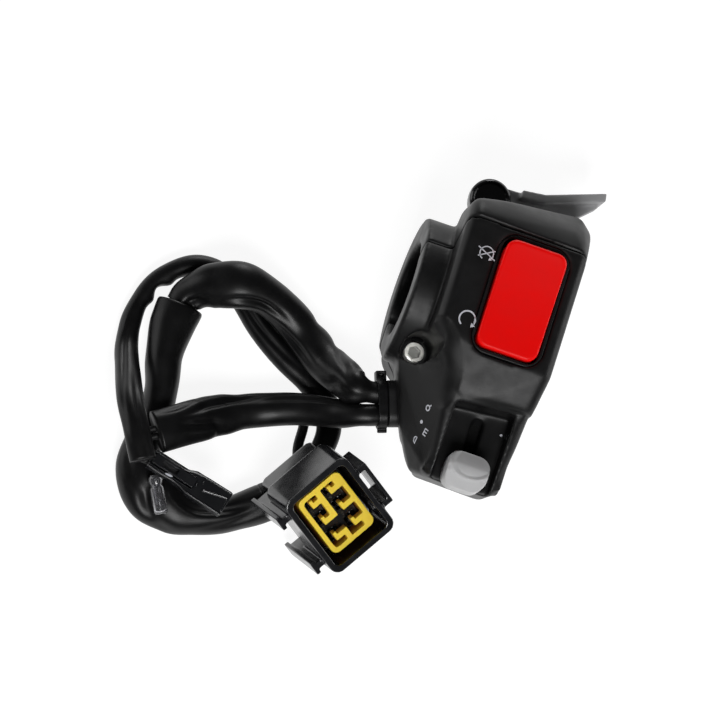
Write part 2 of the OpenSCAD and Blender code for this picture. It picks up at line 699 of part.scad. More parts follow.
// Six-way housing: shroud, core, rear block, latch loop and two side rails
module connector_housing() {
  w = conn_w / 2;
  h = conn_h / 2;
  color([0.05, 0.05, 0.055]) at_connector() difference() {
    union() {
      difference() {
        union() {
          rounded([-w, -h, -conn_d], [w, h, 0], 2.4, conn_d);
          block([w - 1, -6, -11], [w + 2.8, 6, -0.6]);
        }
        rounded([-w + 1.5, -h + 1.5, -conn_d + 2], [w - 1.5, h - 1.5, 0], 1.6, conn_d);
        block([w - 0.2, -4.6, -12], [w + 1.8, 4.6, 1]);
      }
      rounded([-w + 1.4, -h + 1.4, -conn_d - 8], [w - 1.4, h - 1.4, 0], 2, 9);
      rounded([-w + 4.4, -h + 4.4, -conn_d], [w - 4.4, h - 4.4, 0], 0.8, conn_d - 6);
      for (y = [-h + 2.4, h - 6]) {
        block([-w - 2, y + 1, -19], [-w + 1, y + 2.6, -2]);
        block([-w - 2.9, y, -19], [-w - 1.8, y + 3.6, -2]);
      }
    }
    for (x = way_xs) for (y = way_ys) {
      translate([x, y, -conn_d - 9]) cylinder(d = 2.6, h = 10, $fn = 24);
      translate([x - 1.5, y - 1.4, -conn_d + 2]) cube([3, 2.8, conn_d]);
      translate([x, y, -conn_d]) cylinder(d = 1.5, h = 4, $fn = 24);
    }
  }
}

// One bar of the retainer's front
module finger(a, b) {
  block([a[0], a[1], -retainer_in - finger_t], [b[0], b[1], -retainer_in]);
}

// Yellow retainer: a thin frame with a hook at each way
module connector_retainer() {
  w = conn_w / 2 - 3.1;
  h = conn_h / 2 - 3.1;
  stem_x = way_xs[1] + 1.3;
  color([0.95, 0.78, 0.12]) at_connector() {
    difference() {
      rounded([-w, -h, -conn_d + 2], [w, h, 0], 1.6, conn_d - 2 - retainer_in);
      rounded([-w + 1.2, -h + 1.2, -conn_d], [w - 1.2, h - 1.2, 0], 0.9, conn_d + 4);
    }
    finger([-1.4, -0.7], [0.1, h - 1]);
    finger([-1.4, -h + 1], [-0.1, way_ys[0] + 0.7]);
    finger([stem_x, way_ys[2] - 0.7], [stem_x + 1.3, h - 1]);
    finger([stem_x, -0.7], [w - 1, 0.7]);
    finger([stem_x, -h + 1], [stem_x + 1.3, way_ys[0] + 0.7]);
    for (x = way_xs) for (y = way_ys) {
      finger([x - 0.7, y - 0.7], [x + 1.7, y + 0.7]);
      finger([x - 0.7, y - 0.7], [x + 0.2, y + 1.5]);
    }
  }
}

module connector_terminals() {
  color([0.8, 0.81, 0.83]) at_connector() for (x = way_xs) for (y = way_ys)
    translate([x, y, -conn_d]) cylinder(d = 1.5, h = conn_d - retainer_in - finger_t - 0.3, $fn = 24);
}

// Rubber boot under the rear block where both leads go in
module connector_boot() {
  w = conn_w / 2 - 1.4;
  h = conn_h / 2 - 1.4;
  last_m = sleeve_route[len(sleeve_route) - 1];
  last_b = branch_route[len(branch_route) - 1];
  color([0.05, 0.05, 0.055]) difference() {
    union() {
      hull() {
        at_connector() translate([0, 0, -conn_d - 9]) cylinder(r = 5.4, h = 1.4, $fn = 24);
        boot_stub(last_m, boot_main_dir, sleeve_d / 2 - 0.1);
      }
      hull() {
        at_connector() translate([0, 0, -conn_d - 9]) cylinder(r = 2.6, h = 1.4, $fn = 24);
        boot_stub(last_b, boot_branch_dir, branch_d / 2 - 0.1);
      }
    }
    at_connector() block([-w, -h, -conn_d - 8], [w, h, 0]);
  }
}

module boot_stub(at, dir, r) {
  az = atan2(dir[1], dir[0]);
  el = asin(dir[2] / norm(dir));
  translate(at) rotate([0, 90 - el, az]) cylinder(r = r, h = 1, $fn = 24);
}

module at_inline() {
  translate(inline_at) rotate([0, 0, inline_az]) children();
}

// Flat in-line connector with a waisted outline and a latch slot
module inline_housing() {
  l = inline_l / 2;
  w = inline_w / 2;
  color([0.05, 0.05, 0.055]) at_inline() difference() {
    translate([0, 0, -1.2]) linear_extrude(3.8)
      polygon([[-l, -w + 0.7], [-0.6, -w + 0.7], [1.2, -w], [l, -w], [l, w], [0.6, w], [-1.4, w - 0.8],
        [-l, w - 0.8]]);
    block([-l - 1, -1.4, 1.2], [1.4, 1.4, 4]);
  }
}

module inline_lock() {
  l = inline_l / 2;
  color([0.07, 0.07, 0.075]) at_inline() difference() {
    block([-l + 0.6, -1.2, 1.2], [1.4, 1.2, 3.4]);
    block([-l + 3, -0.7, 0], [-l + 7, 0.7, 5]);
  }
}

module bullet_sleeve() {
  color([0.55, 0.55, 0.56]) translate(bullet_at) rotate([0, 90, bullet_az]) difference() {
    cylinder(r = bullet_r, h = bullet_l, $fn = 32);
    translate([0, 0, 2]) cylinder(r = bullet_r - 0.5, h = bullet_l, $fn = 32);
  }
}

module bullet_pin() {
  color([0.8, 0.81, 0.83]) translate(bullet_at) rotate([0, 90, bullet_az]) translate([0, 0, 2])
    cylinder(r = 0.8, h = 5, $fn = 32);
}

front_shell();
rear_shell();
clamp_screws();
rocker_frame();
rocker_pin();
stop_rocker();
stop_switch_body();
stop_plunger();
stop_plunger_spring();
stop_blades();
stop_detent_ball();
stop_detent_spring();
light_knob();
light_carriage();
light_bridge();
light_base();
light_contacts();
light_base_screws();
light_detent_ball();
light_detent_spring();
choke_lever();
lever_bolt();
lever_bush();
lever_washer();
exit_grommet();
cable_tie();
inner_leads();
main_lead();
main_sleeve();
light_lead();
inline_wires();
branch_lead();
connector_housing();
connector_retainer();
connector_terminals();
connector_boot();
inline_housing();
inline_lock();
bullet_sleeve();
bullet_pin();
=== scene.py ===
import math

import bmesh
import bpy
from mathutils import Matrix, Vector, noise
from mathutils.bvhtree import BVHTree


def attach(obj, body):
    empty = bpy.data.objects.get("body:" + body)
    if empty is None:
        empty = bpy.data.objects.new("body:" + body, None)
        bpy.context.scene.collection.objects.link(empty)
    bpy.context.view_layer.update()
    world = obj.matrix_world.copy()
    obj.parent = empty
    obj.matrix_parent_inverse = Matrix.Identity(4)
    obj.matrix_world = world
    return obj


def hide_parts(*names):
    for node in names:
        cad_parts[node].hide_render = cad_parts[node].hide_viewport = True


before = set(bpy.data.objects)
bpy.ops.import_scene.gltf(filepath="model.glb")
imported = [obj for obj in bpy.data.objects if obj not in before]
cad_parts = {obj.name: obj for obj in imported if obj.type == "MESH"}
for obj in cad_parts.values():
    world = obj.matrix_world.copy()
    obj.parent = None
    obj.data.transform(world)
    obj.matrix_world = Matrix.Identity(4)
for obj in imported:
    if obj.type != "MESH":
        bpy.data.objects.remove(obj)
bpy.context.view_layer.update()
mm = 0.001
print("frame loaded")


# camera, set as the photograph was taken

view = {
    "right": (0.939, 0.295, 0.1795),   # image right and up, in the frame
    "up": (-0.3225, 0.935, 0.1515),
    "lookAt": (-22.04, -18.47, -4.31),
    "field": 166.7,                    # width of the view, mm
    "away": 3000,
    "pixels": 720,
}


def viewAxes():
    right = Vector(view["right"]).normalized()
    up = Vector(view["up"])
    up = (up - right * up.dot(right)).normalized()
    return right, up, right.cross(up)


def makeCamera():
    right, up, back = viewAxes()
    lens = bpy.data.cameras.new("camera")
    lens.sensor_width = 36
    lens.lens = 36 * view["away"] / view["field"]
    lens.clip_start = 0.01
    camera = bpy.data.objects.new("camera", lens)
    bpy.context.scene.collection.objects.link(camera)
    place = Matrix((right, up, back)).transposed().to_4x4()
    place.translation = Vector(view["lookAt"]) * mm + back * view["away"] * mm
    camera.matrix_world = place
    bpy.context.scene.camera = camera


def pixelRay(x, y):  # from the camera through a pixel of the photograph
    right, up, back = viewAxes()
    step = view["field"] / view["pixels"] * mm
    middle = Vector(view["lookAt"]) * mm
    eye = middle + back * view["away"] * mm
    half = view["pixels"] / 2
    aim = middle + right * (x - half) * step + up * (half - y) * step
    return eye, (aim - eye).normalized()


def onPhoto(point):  # where a point of the part, in metres, falls on the photograph
    right, up, back = viewAxes()
    out = point / mm - Vector(view["lookAt"])
    step = view["field"] / view["pixels"]
    half = view["pixels"] / 2
    return out.dot(right) / step + half, half - out.dot(up) / step


makeCamera()
print("camera ready")


# helpers shared by the pieces

def share(low, high, value):  # 0 at low, 1 at high, held outside
    return min(1.0, max(0.0, (value - low) / (high - low)))


def ease(low, high, value):
    t = share(low, high, value)
    return t * t * (3 - 2 * t)


def evenOut(bm, verts, rounds):
    for i in range(rounds):
        bmesh.ops.smooth_vert(bm, verts=verts, factor=0.5, use_axis_x=True, use_axis_y=True, use_axis_z=True)


def addPiece(name, bm, body, look, smooth=True):
    mesh = bpy.data.meshes.new(name)
    for face in bm.faces:
        face.smooth = smooth
    bm.to_mesh(mesh)
    bm.free()
    return finishPiece(name, mesh, body, look)


def finishPiece(name, mesh, body, look):
    piece = bpy.data.objects.new(name, mesh)
    bpy.context.scene.collection.objects.link(piece)
    mesh.materials.clear()
    mesh.materials.append(look)
    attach(piece, body)
    return piece


def skinRings(bm, rings):  # closed skin through rings that have the same number of points
    count = len(rings[0])
    made = bmesh.ops.create_circle(bm, cap_ends=False, segments=count, radius=1.0)["verts"]
    row = sorted(made, key=lambda v: math.atan2(v.co.y, v.co.x) % (2 * math.pi))
    rows = [row]
    for i in range(1, len(rings)):
        edges = [bm.edges.get((row[k], row[(k + 1) % count])) for k in range(count)]
        fresh = {v for v in bmesh.ops.extrude_edge_only(bm, edges=edges)["geom"] if isinstance(v, bmesh.types.BMVert)}
        row = [next(e.other_vert(v) for e in v.link_edges if e.other_vert(v) in fresh) for v in row]
        rows.append(row)
    for row, ring in zip(rows, rings):
        for v, point in zip(row, ring):
            v.co = Vector(point) * mm
    for row in (rows[0], rows[-1]):
        bmesh.ops.contextual_create(bm, geom=[bm.edges.get((row[k], row[(k + 1) % count])) for k in range(count)])
    return rows


def mouldedCopy(node, name, body, look, voxel, rounds, place=Matrix.Identity(4)):  # a soft-edged skin
    bm = bmesh.new()
    bm.from_mesh(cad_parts[node].data)
    bmesh.ops.remove_doubles(bm, verts=bm.verts, dist=0.000001)
    bmesh.ops.transform(bm, matrix=place.inverted(), verts=bm.verts)
    mesh = bpy.data.meshes.new(name + "Raw")
    bm.to_mesh(mesh)
    bm.free()
    raw = bpy.data.objects.new(name + "Raw", mesh)
    bpy.context.scene.collection.objects.link(raw)
    remesh = raw.modifiers.new("skin", "REMESH")
    remesh.mode = "VOXEL"
    remesh.voxel_size = voxel * mm
    graph = bpy.context.evaluated_depsgraph_get()
    skin = bpy.data.meshes.new_from_object(raw.evaluated_get(graph))
    bpy.data.objects.remove(raw)
    bm = bmesh.new()
    bm.from_mesh(skin)
    evenOut(bm, bm.verts, rounds)
    bmesh.ops.transform(bm, matrix=place, verts=bm.verts)
    piece = addPiece(name, bm, body, look)
    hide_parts(node)
    return piece


# materials

def newMaterial(name):
    material = bpy.data.materials.new(name)
    material.use_nodes = True
    tree = material.node_tree
    shader = tree.nodes["Principled BSDF"]
    return material, tree, shader


def noiseNode(tree, where, scale, detail=3.0, rough=0.55):
    node = tree.nodes.new("ShaderNodeTexNoise")
    node.inputs["Scale"].default_value = scale
    node.inputs["Detail"].default_value = detail
    node.inputs["Roughness"].default_value = rough
    tree.links.new(where, node.inputs["Vector"])
    return node.outputs["Fac"]


def rangeNode(tree, value, low, high, fromLow=0.3, fromHigh=0.7):
    node = tree.nodes.new("ShaderNodeMapRange")
    node.inputs["From Min"].default_value = fromLow
    node.inputs["From Max"].default_value = fromHigh
    node.inputs["To Min"].default_value = low
    node.inputs["To Max"].default_value = high
    tree.links.new(value, node.inputs["Value"])
    return node.outputs["Result"]


def mixNode(tree, factor, first, second):
    node = tree.nodes.new("ShaderNodeMix")
    node.data_type = "RGBA"
    tree.links.new(factor, node.inputs["Factor"])
    if isinstance(first, tuple):
        node.inputs[6].default_value = (*first, 1)
    else:
        tree.links.new(first, node.inputs[6])
    node.inputs[7].default_value = (*second, 1)
    return node.outputs[2]


def objectCoords(tree):
    return tree.nodes.new("ShaderNodeTexCoord").outputs["Object"]


def bumpNode(tree, height, strength, distance):
    node = tree.nodes.new("ShaderNodeBump")
    node.inputs["Strength"].default_value = strength
    node.inputs["Distance"].default_value = distance * mm
    tree.links.new(height, node.inputs["Height"])
    return node.outputs["Normal"]


def surfaceMaterial(name, look):  # two close tones, uneven gloss and a fine grain
    material, tree, shader = newMaterial(name)
    where = objectCoords(tree)
    patches = noiseNode(tree, where, look["patch"], 4.0)
    grain = noiseNode(tree, where, look["grain"], 2.0)
    tones = mixNode(tree, rangeNode(tree, patches, 0, 1), look["colour"], look["second"])
    tree.links.new(tones, shader.inputs["Base Color"])
    low, high = look["rough"]
    tree.links.new(rangeNode(tree, patches, low, high), shader.inputs["Roughness"])
    tree.links.new(bumpNode(tree, grain, look["bump"], look["deep"]), shader.inputs["Normal"])
    shader.inputs["Metallic"].default_value = look.get("metal", 0.0)
    shader.inputs["Specular IOR Level"].default_value = look.get("shine", 0.5)
    shader.inputs["Coat Weight"].default_value = look.get("coat", 0.0)
    shader.inputs["Coat Roughness"].default_value = look.get("coatRough", 0.1)
    return material


finishes = {
    "housingBlack": {"colour": (0.004, 0.004, 0.0042), "second": (0.006, 0.006, 0.0063), "rough": (0.4, 0.5),
                     "patch": 260, "grain": 3400, "bump": 0.2, "deep": 0.04, "shine": 0.29},
    "frameBlack": {"colour": (0.003, 0.003, 0.0033), "second": (0.0045, 0.0045, 0.005), "rough": (0.4, 0.5),
                   "patch": 300, "grain": 2600, "bump": 0.2, "deep": 0.03, "shine": 0.3},
    "stopRed": {"colour": (0.95, 0.0022, 0.0016), "second": (0.89, 0.002, 0.0014), "rough": (0.34, 0.42),
                "patch": 220, "grain": 2400, "bump": 0.06, "deep": 0.02, "shine": 0.16},
    "knobGrey": {"colour": (0.5, 0.5, 0.505), "second": (0.46, 0.46, 0.465), "rough": (0.4, 0.5),
                 "patch": 300, "grain": 2800, "bump": 0.12, "deep": 0.02, "shine": 0.35},
    "leverGrey": {"colour": (0.33, 0.33, 0.335), "second": (0.27, 0.27, 0.275), "rough": (0.4, 0.55),
                  "patch": 240, "grain": 2600, "bump": 0.2, "deep": 0.03, "shine": 0.4},
    "boltBlack": {"colour": (0.003, 0.003, 0.0034), "second": (0.0045, 0.0045, 0.005), "rough": (0.14, 0.22),
                  "patch": 320, "grain": 2200, "bump": 0.04, "deep": 0.02, "shine": 0.45},
    "springSteel": {"colour": (0.55, 0.55, 0.57), "second": (0.46, 0.46, 0.48), "rough": (0.28, 0.4),
                    "patch": 900, "grain": 5200, "bump": 0.1, "deep": 0.02, "metal": 1.0},
    "contactBrass": {"colour": (0.70, 0.47, 0.15), "second": (0.58, 0.37, 0.11), "rough": (0.25, 0.4),
                     "patch": 800, "grain": 4200, "bump": 0.1, "deep": 0.02, "metal": 1.0},
    "innerPlastic": {"colour": (0.003, 0.003, 0.003), "second": (0.0045, 0.0045, 0.0045), "rough": (0.55, 0.7),
                     "patch": 400, "grain": 3000, "bump": 0.25, "deep": 0.04, "shine": 0.12},
    "plungerWhite": {"colour": (0.72, 0.69, 0.6), "second": (0.66, 0.63, 0.54), "rough": (0.35, 0.45),
                     "patch": 600, "grain": 3000, "bump": 0.1, "deep": 0.03},
    "leadRubber": {"colour": (0.004, 0.004, 0.0043), "second": (0.007, 0.007, 0.0075), "rough": (0.42, 0.55),
                   "patch": 380, "grain": 2600, "bump": 0.2, "deep": 0.04, "shine": 0.4},
    "connectorBlack": {"colour": (0.0035, 0.004, 0.0052), "second": (0.005, 0.0055, 0.007), "rough": (0.17, 0.25),
                       "patch": 260, "grain": 2400, "bump": 0.012, "deep": 0.01, "shine": 1.0},
    "terminalTin": {"colour": (0.82, 0.82, 0.83), "second": (0.7, 0.7, 0.72), "rough": (0.18, 0.3),
                    "patch": 900, "grain": 5000, "bump": 0.1, "deep": 0.02, "metal": 1.0},
    "tieNylon": {"colour": (0.0035, 0.0035, 0.0038), "second": (0.006, 0.006, 0.0065), "rough": (0.32, 0.44),
                 "patch": 500, "grain": 3600, "bump": 0.1, "deep": 0.03, "shine": 0.25},
    "markWhite": {"colour": (0.66, 0.67, 0.72), "second": (0.52, 0.53, 0.58), "rough": (0.5, 0.65),
                  "patch": 1600, "grain": 5000, "bump": 0.15, "deep": 0.02},
}
looks = {name: surfaceMaterial(name, look) for name, look in finishes.items()}


def sleeveMaterial():  # soft extruded vinyl: smooth, with faint lengthwise drag lines and dust
    material, tree, shader = newMaterial("sleeveVinyl")
    where = objectCoords(tree)
    along = tree.nodes.new("ShaderNodeUVMap")
    along.uv_map = "run"
    stretch = tree.nodes.new("ShaderNodeMapping")
    stretch.inputs["Scale"].default_value = (0.12, 60, 1)
    tree.links.new(along.outputs["UV"], stretch.inputs["Vector"])
    lines = noiseNode(tree, stretch.outputs["Vector"], 3.0, 3.0)
    patches = noiseNode(tree, where, 210, 4.0)
    dust = rangeNode(tree, noiseNode(tree, where, 2100, 1.0), 0, 1, 0.72, 0.76)
    tones = mixNode(tree, rangeNode(tree, patches, 0, 1), (0.0022, 0.0022, 0.0024), (0.004, 0.004, 0.0043))
    dusty = mixNode(tree, dust, tones, (0.011, 0.011, 0.012))
    tree.links.new(dusty, shader.inputs["Base Color"])
    tree.links.new(rangeNode(tree, patches, 0.33, 0.44), shader.inputs["Roughness"])
    tree.links.new(bumpNode(tree, lines, 0.08, 0.05), shader.inputs["Normal"])
    shader.inputs["Specular IOR Level"].default_value = 0.27
    return material


def retainerMaterial():  # yellow on the front, with painted shade in amber towards the root of each wall
    material, tree, shader = newMaterial("retainerYellow")
    where = objectCoords(tree)
    depth = tree.nodes.new("ShaderNodeAttribute")
    depth.attribute_name = "depth"
    patches = noiseNode(tree, where, 420, 3.0)
    grain = noiseNode(tree, where, 2600, 2.0)
    tones = mixNode(tree, rangeNode(tree, patches, 0, 1), (0.98, 0.72, 0.06), (0.95, 0.67, 0.05))
    # painted shade: the walls turn amber the deeper they lie behind the front
    paintedAmberShade = mixNode(tree, depth.outputs["Fac"], tones, (0.42, 0.13, 0.008))
    tree.links.new(paintedAmberShade, shader.inputs["Base Color"])
    tree.links.new(rangeNode(tree, patches, 0.34, 0.46), shader.inputs["Roughness"])
    tree.links.new(bumpNode(tree, grain, 0.1, 0.03), shader.inputs["Normal"])
    shader.inputs["Subsurface Weight"].default_value = 0.1
    shader.inputs["Subsurface Radius"].default_value = (0.0012, 0.0006, 0.0001)
    shader.inputs["Subsurface Scale"].default_value = 1.0
    return material


def screwMaterial():  # bright zinc, with painted shade in the socket
    material, tree, shader = newMaterial("screwSteel")
    where = objectCoords(tree)
    paintedSocketShadeMask = tree.nodes.new("ShaderNodeAttribute")
    paintedSocketShadeMask.attribute_name = "paintedSocketShadeMask"
    patches = noiseNode(tree, where, 700, 3.0)
    grain = noiseNode(tree, where, 5200, 2.0)
    tones = mixNode(tree, rangeNode(tree, patches, 0, 1), (0.88, 0.87, 0.82), (0.76, 0.75, 0.7))
    # painted shade: the socket rows are mixed towards dark grey
    paintedSocketShade = mixNode(tree, paintedSocketShadeMask.outputs["Fac"], tones, (0.3, 0.3, 0.28))
    tree.links.new(paintedSocketShade, shader.inputs["Base Color"])
    tree.links.new(rangeNode(tree, patches, 0.26, 0.38), shader.inputs["Roughness"])
    tree.links.new(bumpNode(tree, grain, 0.06, 0.02), shader.inputs["Normal"])
    shader.inputs["Metallic"].default_value = 0.2
    return material


def bulletMaterial():  # clear sleeve over the pin
    material, tree, shader = newMaterial("bulletClear")
    where = objectCoords(tree)
    patches = noiseNode(tree, where, 500, 4.0)
    grain = noiseNode(tree, where, 2600, 2.0)
    tones = mixNode(tree, rangeNode(tree, patches, 0, 1), (0.5, 0.5, 0.52), (0.42, 0.42, 0.44))
    tree.links.new(tones, shader.inputs["Base Color"])
    tree.links.new(rangeNode(tree, patches, 0.1, 0.16), shader.inputs["Roughness"])
    tree.links.new(bumpNode(tree, grain, 0.03, 0.02), shader.inputs["Normal"])
    shader.inputs["Transmission Weight"].default_value = 0.92
    shader.inputs["IOR"].default_value = 1.45
    return material


looks["sleeveVinyl"] = sleeveMaterial()
looks["retainerYellow"] = retainerMaterial()
looks["bulletClear"] = bulletMaterial()
looks["screwSteel"] = screwMaterial()
print("materials ready:", len(looks))


# cords: the routes are those of the solids, in mm

exitAt = Vector((-12.2, -26.3, -2))
exitDir = Vector((-0.945, -0.327, 0))
exitSide = Vector((-0.327, 0.945, 0))


def exitPoint(out, side):
    return tuple(exitAt + exitDir * out + exitSide * side)


def smoothRoute(points, steps):  # one smooth curve through the chosen points
    p = [Vector(q) for q in points]
    p = [p[0] * 2 - p[1]] + p + [p[-1] * 2 - p[-2]]
    line = []
    for i in range(1, len(p) - 2):
        for k in range(steps):
            t = k / steps
            a = p[i] * 2 + (p[i + 1] - p[i - 1]) * t
            b = (p[i - 1] * 2 - p[i] * 5 + p[i + 1] * 4 - p[i + 2]) * t * t
            c = (p[i] * 3 - p[i - 1] - p[i + 1] * 3 + p[i + 2]) * t * t * t
            line.append((a + b + c) / 2)
    return line + [p[-2]]


def evenly(line, gap):  # the same curve with points a fixed gap apart
    total = sum((b - a).length for a, b in zip(line, line[1:]))
    count = max(2, round(total / gap))
    out, walked, i = [line[0]], 0.0, 0
    for k in range(1, count):
        goal = total * k / count
        while walked + (line[i + 1] - line[i]).length < goal:
            walked += (line[i + 1] - line[i]).length
            i += 1
        out.append(line[i].lerp(line[i + 1], (goal - walked) / (line[i + 1] - line[i]).length))
    return out + [line[-1]], total


def profileAt(profile, t):  # (place, width, height) rows, eased between
    for a, b in zip(profile, profile[1:]):
        if t <= b[0]:
            s = ease(a[0], b[0], t)
            return a[1] + (b[1] - a[1]) * s, a[2] + (b[2] - a[2]) * s
    return profile[-1][1], profile[-1][2]


def foldDepth(folds, distance, turn):  # how far the creases push the wall in
    deep = 0.0
    for fold in folds:
        reach = (distance - fold["at"]) / fold["long"]
        swing = turn - fold["turn"] - fold.get("slant", 0) * (distance - fold["at"])
        swing = (swing + 180) % 360 - 180
        deep += fold["deep"] * math.exp(-reach * reach) * math.exp(-(swing / fold["wide"]) ** 2)
    return deep


def softTube(name, cord, node):  # sleeve with a changing section, creases and a closed or open start
    line, total = evenly(smoothRoute(cord["route"], 12), 0.5)
    sides = cord["sides"]
    stations = [(i, 0.0) for i in range(len(line))]
    if cord.get("mouth"):
        wall = cord["mouth"]
        stations = [(9, wall), (6, wall), (3, wall), (1, wall), (0, wall * 0.75), (0, wall * 0.2)] + stations[1:]
    rings = []
    for i, inset in stations:
        ahead = (line[min(i + 1, len(line) - 1)] - line[max(i - 1, 0)]).normalized()
        across = ahead.cross(Vector((0, 0, 1))).normalized()
        over = across.cross(ahead).normalized()
        distance = total * i / (len(line) - 1)
        width, height = profileAt(cord["section"], distance / total)
        ring = []
        for k in range(sides):
            angle = 2 * math.pi * k / sides
            outward = across * math.cos(angle) * width / 2 + over * math.sin(angle) * height / 2
            near = Vector((distance * 0.16, math.cos(angle) * 0.7, math.sin(angle) * 0.7 + cord["seed"]))
            shrink = inset + foldDepth(cord["folds"], distance, 360 * k / sides)
            shrink += cord["crumple"] * noise.noise(near)
            ring.append(line[i] + outward * max(0.3, 1 - shrink / outward.length))
        rings.append(ring)
    bm = bmesh.new()
    rows = skinRings(bm, rings)
    bmesh.ops.recalc_face_normals(bm, faces=bm.faces)
    run = bm.loops.layers.uv.new("run")
    where = {v: (row * 0.5, k / sides) for row, verts in enumerate(rows) for k, v in enumerate(verts)}
    for face in bm.faces:
        far = max(where[loop.vert][1] for loop in face.loops)
        for loop in face.loops:
            u, w = where[loop.vert]
            loop[run].uv = (u, w + 1 if far - w > 0.5 else w)
    piece = addPiece(name, bm, "housing", looks["sleeveVinyl"])
    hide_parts(node)
    return piece, [tuple(q * mm) for q in line], total * mm


mainLead = {
    "route": [exitPoint(1.2, 2.6), exitPoint(4, 2.6), exitPoint(8.4, 3.8), (-24.4, -23.6, -4.8), (-29, -20.4, -9.8),
              (-35, -15.6, -12), (-41.4, -12, -11), (-48, -10.2, -8.8), (-54, -10.2, -7.8), (-60, -12.2, -10),
              (-63.6, -15.4, -12.4), (-64.8, -18.4, -13.2)],
    "section": [(0, 5, 5), (0.06, 5.2, 5.2), (0.13, 8.6, 7.4), (0.2, 9.4, 8), (0.35, 9.4, 8.2), (0.5, 9, 8.2),
                (0.62, 9, 8.2), (0.75, 11, 8), (0.85, 10.2, 7.6), (0.93, 8.4, 6.8), (1, 7.4, 6.2)],
    "folds": [{"at": 11, "turn": 150, "long": 4, "wide": 20, "deep": 1.1, "slant": 4},
              {"at": 14, "turn": 60, "long": 5, "wide": 14, "deep": 0.7, "slant": -5},
              {"at": 21, "turn": 0, "long": 1.8, "wide": 30, "deep": 0.6},
              {"at": 28, "turn": 5, "long": 1.6, "wide": 30, "deep": 0.5},
              {"at": 27, "turn": 150, "long": 9, "wide": 16, "deep": 0.9, "slant": 1},
              {"at": 43, "turn": 132, "long": 7, "wide": 12, "deep": 1.2, "slant": 1.5},
              {"at": 52, "turn": 175, "long": 5, "wide": 26, "deep": -0.5},
              {"at": 60, "turn": 120, "long": 4, "wide": 16, "deep": 1.1, "slant": -4}],
    "crumple": 0.16, "seed": 3.1, "sides": 64, "diameter": 9.0,
}
mainSleeve = {
    "route": [(-64.8, -18.4, -13.2), (-65.2, -24, -13.2), (-64.8, -31, -13.2), (-63.2, -38, -13.2),
              (-62.8, -45, -13.2), (-63.4, -52, -13.2), (-62.8, -58, -13.2), (-60, -62.6, -13.2),
              (-55, -65.2, -13.2), (-48, -65.2, -13.2), (-41.4, -62.6, -13.2), (-36.6, -59.4, -13.2),
              (-32.4, -56, -13.2)],
    "section": [(0, 11, 8.8), (0.05, 10.6, 9), (0.18, 8.6, 9), (0.28, 7.6, 8.8), (0.4, 8.4, 8.8), (0.52, 10, 8.8),
                (0.62, 10.6, 8.8), (0.7, 9.2, 8.8), (0.78, 7.6, 8.6), (0.86, 7.8, 8.6), (1, 9, 9)],
    "folds": [{"at": 40, "turn": 60, "long": 6, "wide": 18, "deep": 0.6, "slant": 4},
              {"at": 48, "turn": 70, "long": 3, "wide": 22, "deep": 1.1, "slant": -7},
              {"at": 53, "turn": 20, "long": 2.4, "wide": 26, "deep": 0.6},
              {"at": 50, "turn": 150, "long": 9, "wide": 45, "deep": -2.8},
              {"at": 62, "turn": 112, "long": 10, "wide": 16, "deep": 1.1, "slant": -2},
              {"at": 70, "turn": 60, "long": 7, "wide": 14, "deep": 0.5, "slant": 2}],
    "crumple": 0.18, "seed": 7.4, "sides": 64, "diameter": 9.4, "mouth": 0.6,
}
lightLead = {
    "route": [exitPoint(1.2, -2.6), exitPoint(7.4, -2.6), (-24, -32, -6), (-32, -33.2, -9.6), (-41, -36.4, -11.4),
              (-50, -41.2, -9), (-53, -43.4, -7.6), (-57.6, -46.8, -5.6), (-62, -50, -4.7)],
    "section": [(0, 5, 5), (0.09, 5.2, 5.2), (0.2, 6.8, 6.4), (0.36, 7.6, 6.6), (0.6, 8.2, 6.2), (0.7, 9.6, 5.4),
                (0.82, 10.2, 5), (1, 10, 4.8)],
    "folds": [{"at": 22, "turn": 55, "long": 9, "wide": 12, "deep": 0.7, "slant": 0.6},
              {"at": 40, "turn": 52, "long": 10, "wide": 12, "deep": 1.0, "slant": 1.4},
              {"at": 47, "turn": 110, "long": 6, "wide": 14, "deep": 0.9, "slant": -3},
              {"at": 52, "turn": 30, "long": 4, "wide": 16, "deep": 0.7}],
    "crumple": 0.12, "seed": 11.9, "sides": 56, "diameter": 7.2,
}
branchLead = {
    "route": [(-63.9, -58.6, 2.2), (-67.3, -52.4, 1.8), (-70.4, -45.6, -1.4), (-72.2, -38.4, -8), (-73.8, -31, -14),
              (-74.4, -24, -15.3), (-73.2, -17, -15.3), (-69.4, -11.2, -15.3), (-64, -7.6, -15.3),
              (-58, -7.6, -15.3), (-51.8, -11.2, -15.3), (-45.4, -16.6, -15.3), (-37.8, -21.4, -15.3),
              (-30.8, -24.8, -15.3), (-25.4, -28.6, -15.3), (-22.8, -34, -15.3), (-23, -40, -15.3),
              (-24.6, -45, -15)],
    "section": [(0, 6.2, 4.4), (0.06, 6.2, 4.2), (0.14, 6.4, 4.4), (0.24, 5.8, 4.8), (0.32, 5, 4.8), (0.38, 4.1, 4.6),
                (0.44, 4.4, 4.6), (0.55, 5.4, 5), (0.7, 6, 5), (0.85, 6.2, 4.8), (1, 5.4, 5)],
    "folds": [{"at": 48, "turn": 0, "long": 1.7, "wide": 45, "deep": -0.7},
              {"at": 51.5, "turn": 0, "long": 1.6, "wide": 45, "deep": 0.8},
              {"at": 55, "turn": 0, "long": 1.6, "wide": 45, "deep": -0.6},
              {"at": 66, "turn": 10, "long": 1.6, "wide": 45, "deep": -0.5},
              {"at": 10, "turn": 60, "long": 9, "wide": 14, "deep": 0.7, "slant": 1},
              {"at": 26, "turn": 120, "long": 12, "wide": 12, "deep": 0.6, "slant": -1},
              {"at": 84, "turn": 80, "long": 12, "wide": 14, "deep": 0.6, "slant": 1}],
    "crumple": 0.1, "seed": 17.3, "sides": 44, "diameter": 5.3,
}
inlinePlug = {"at": (-51.8, -59, -3.6), "turn": -14}
inlineTurn = Matrix.Rotation(math.radians(inlinePlug["turn"]), 4, "Z")
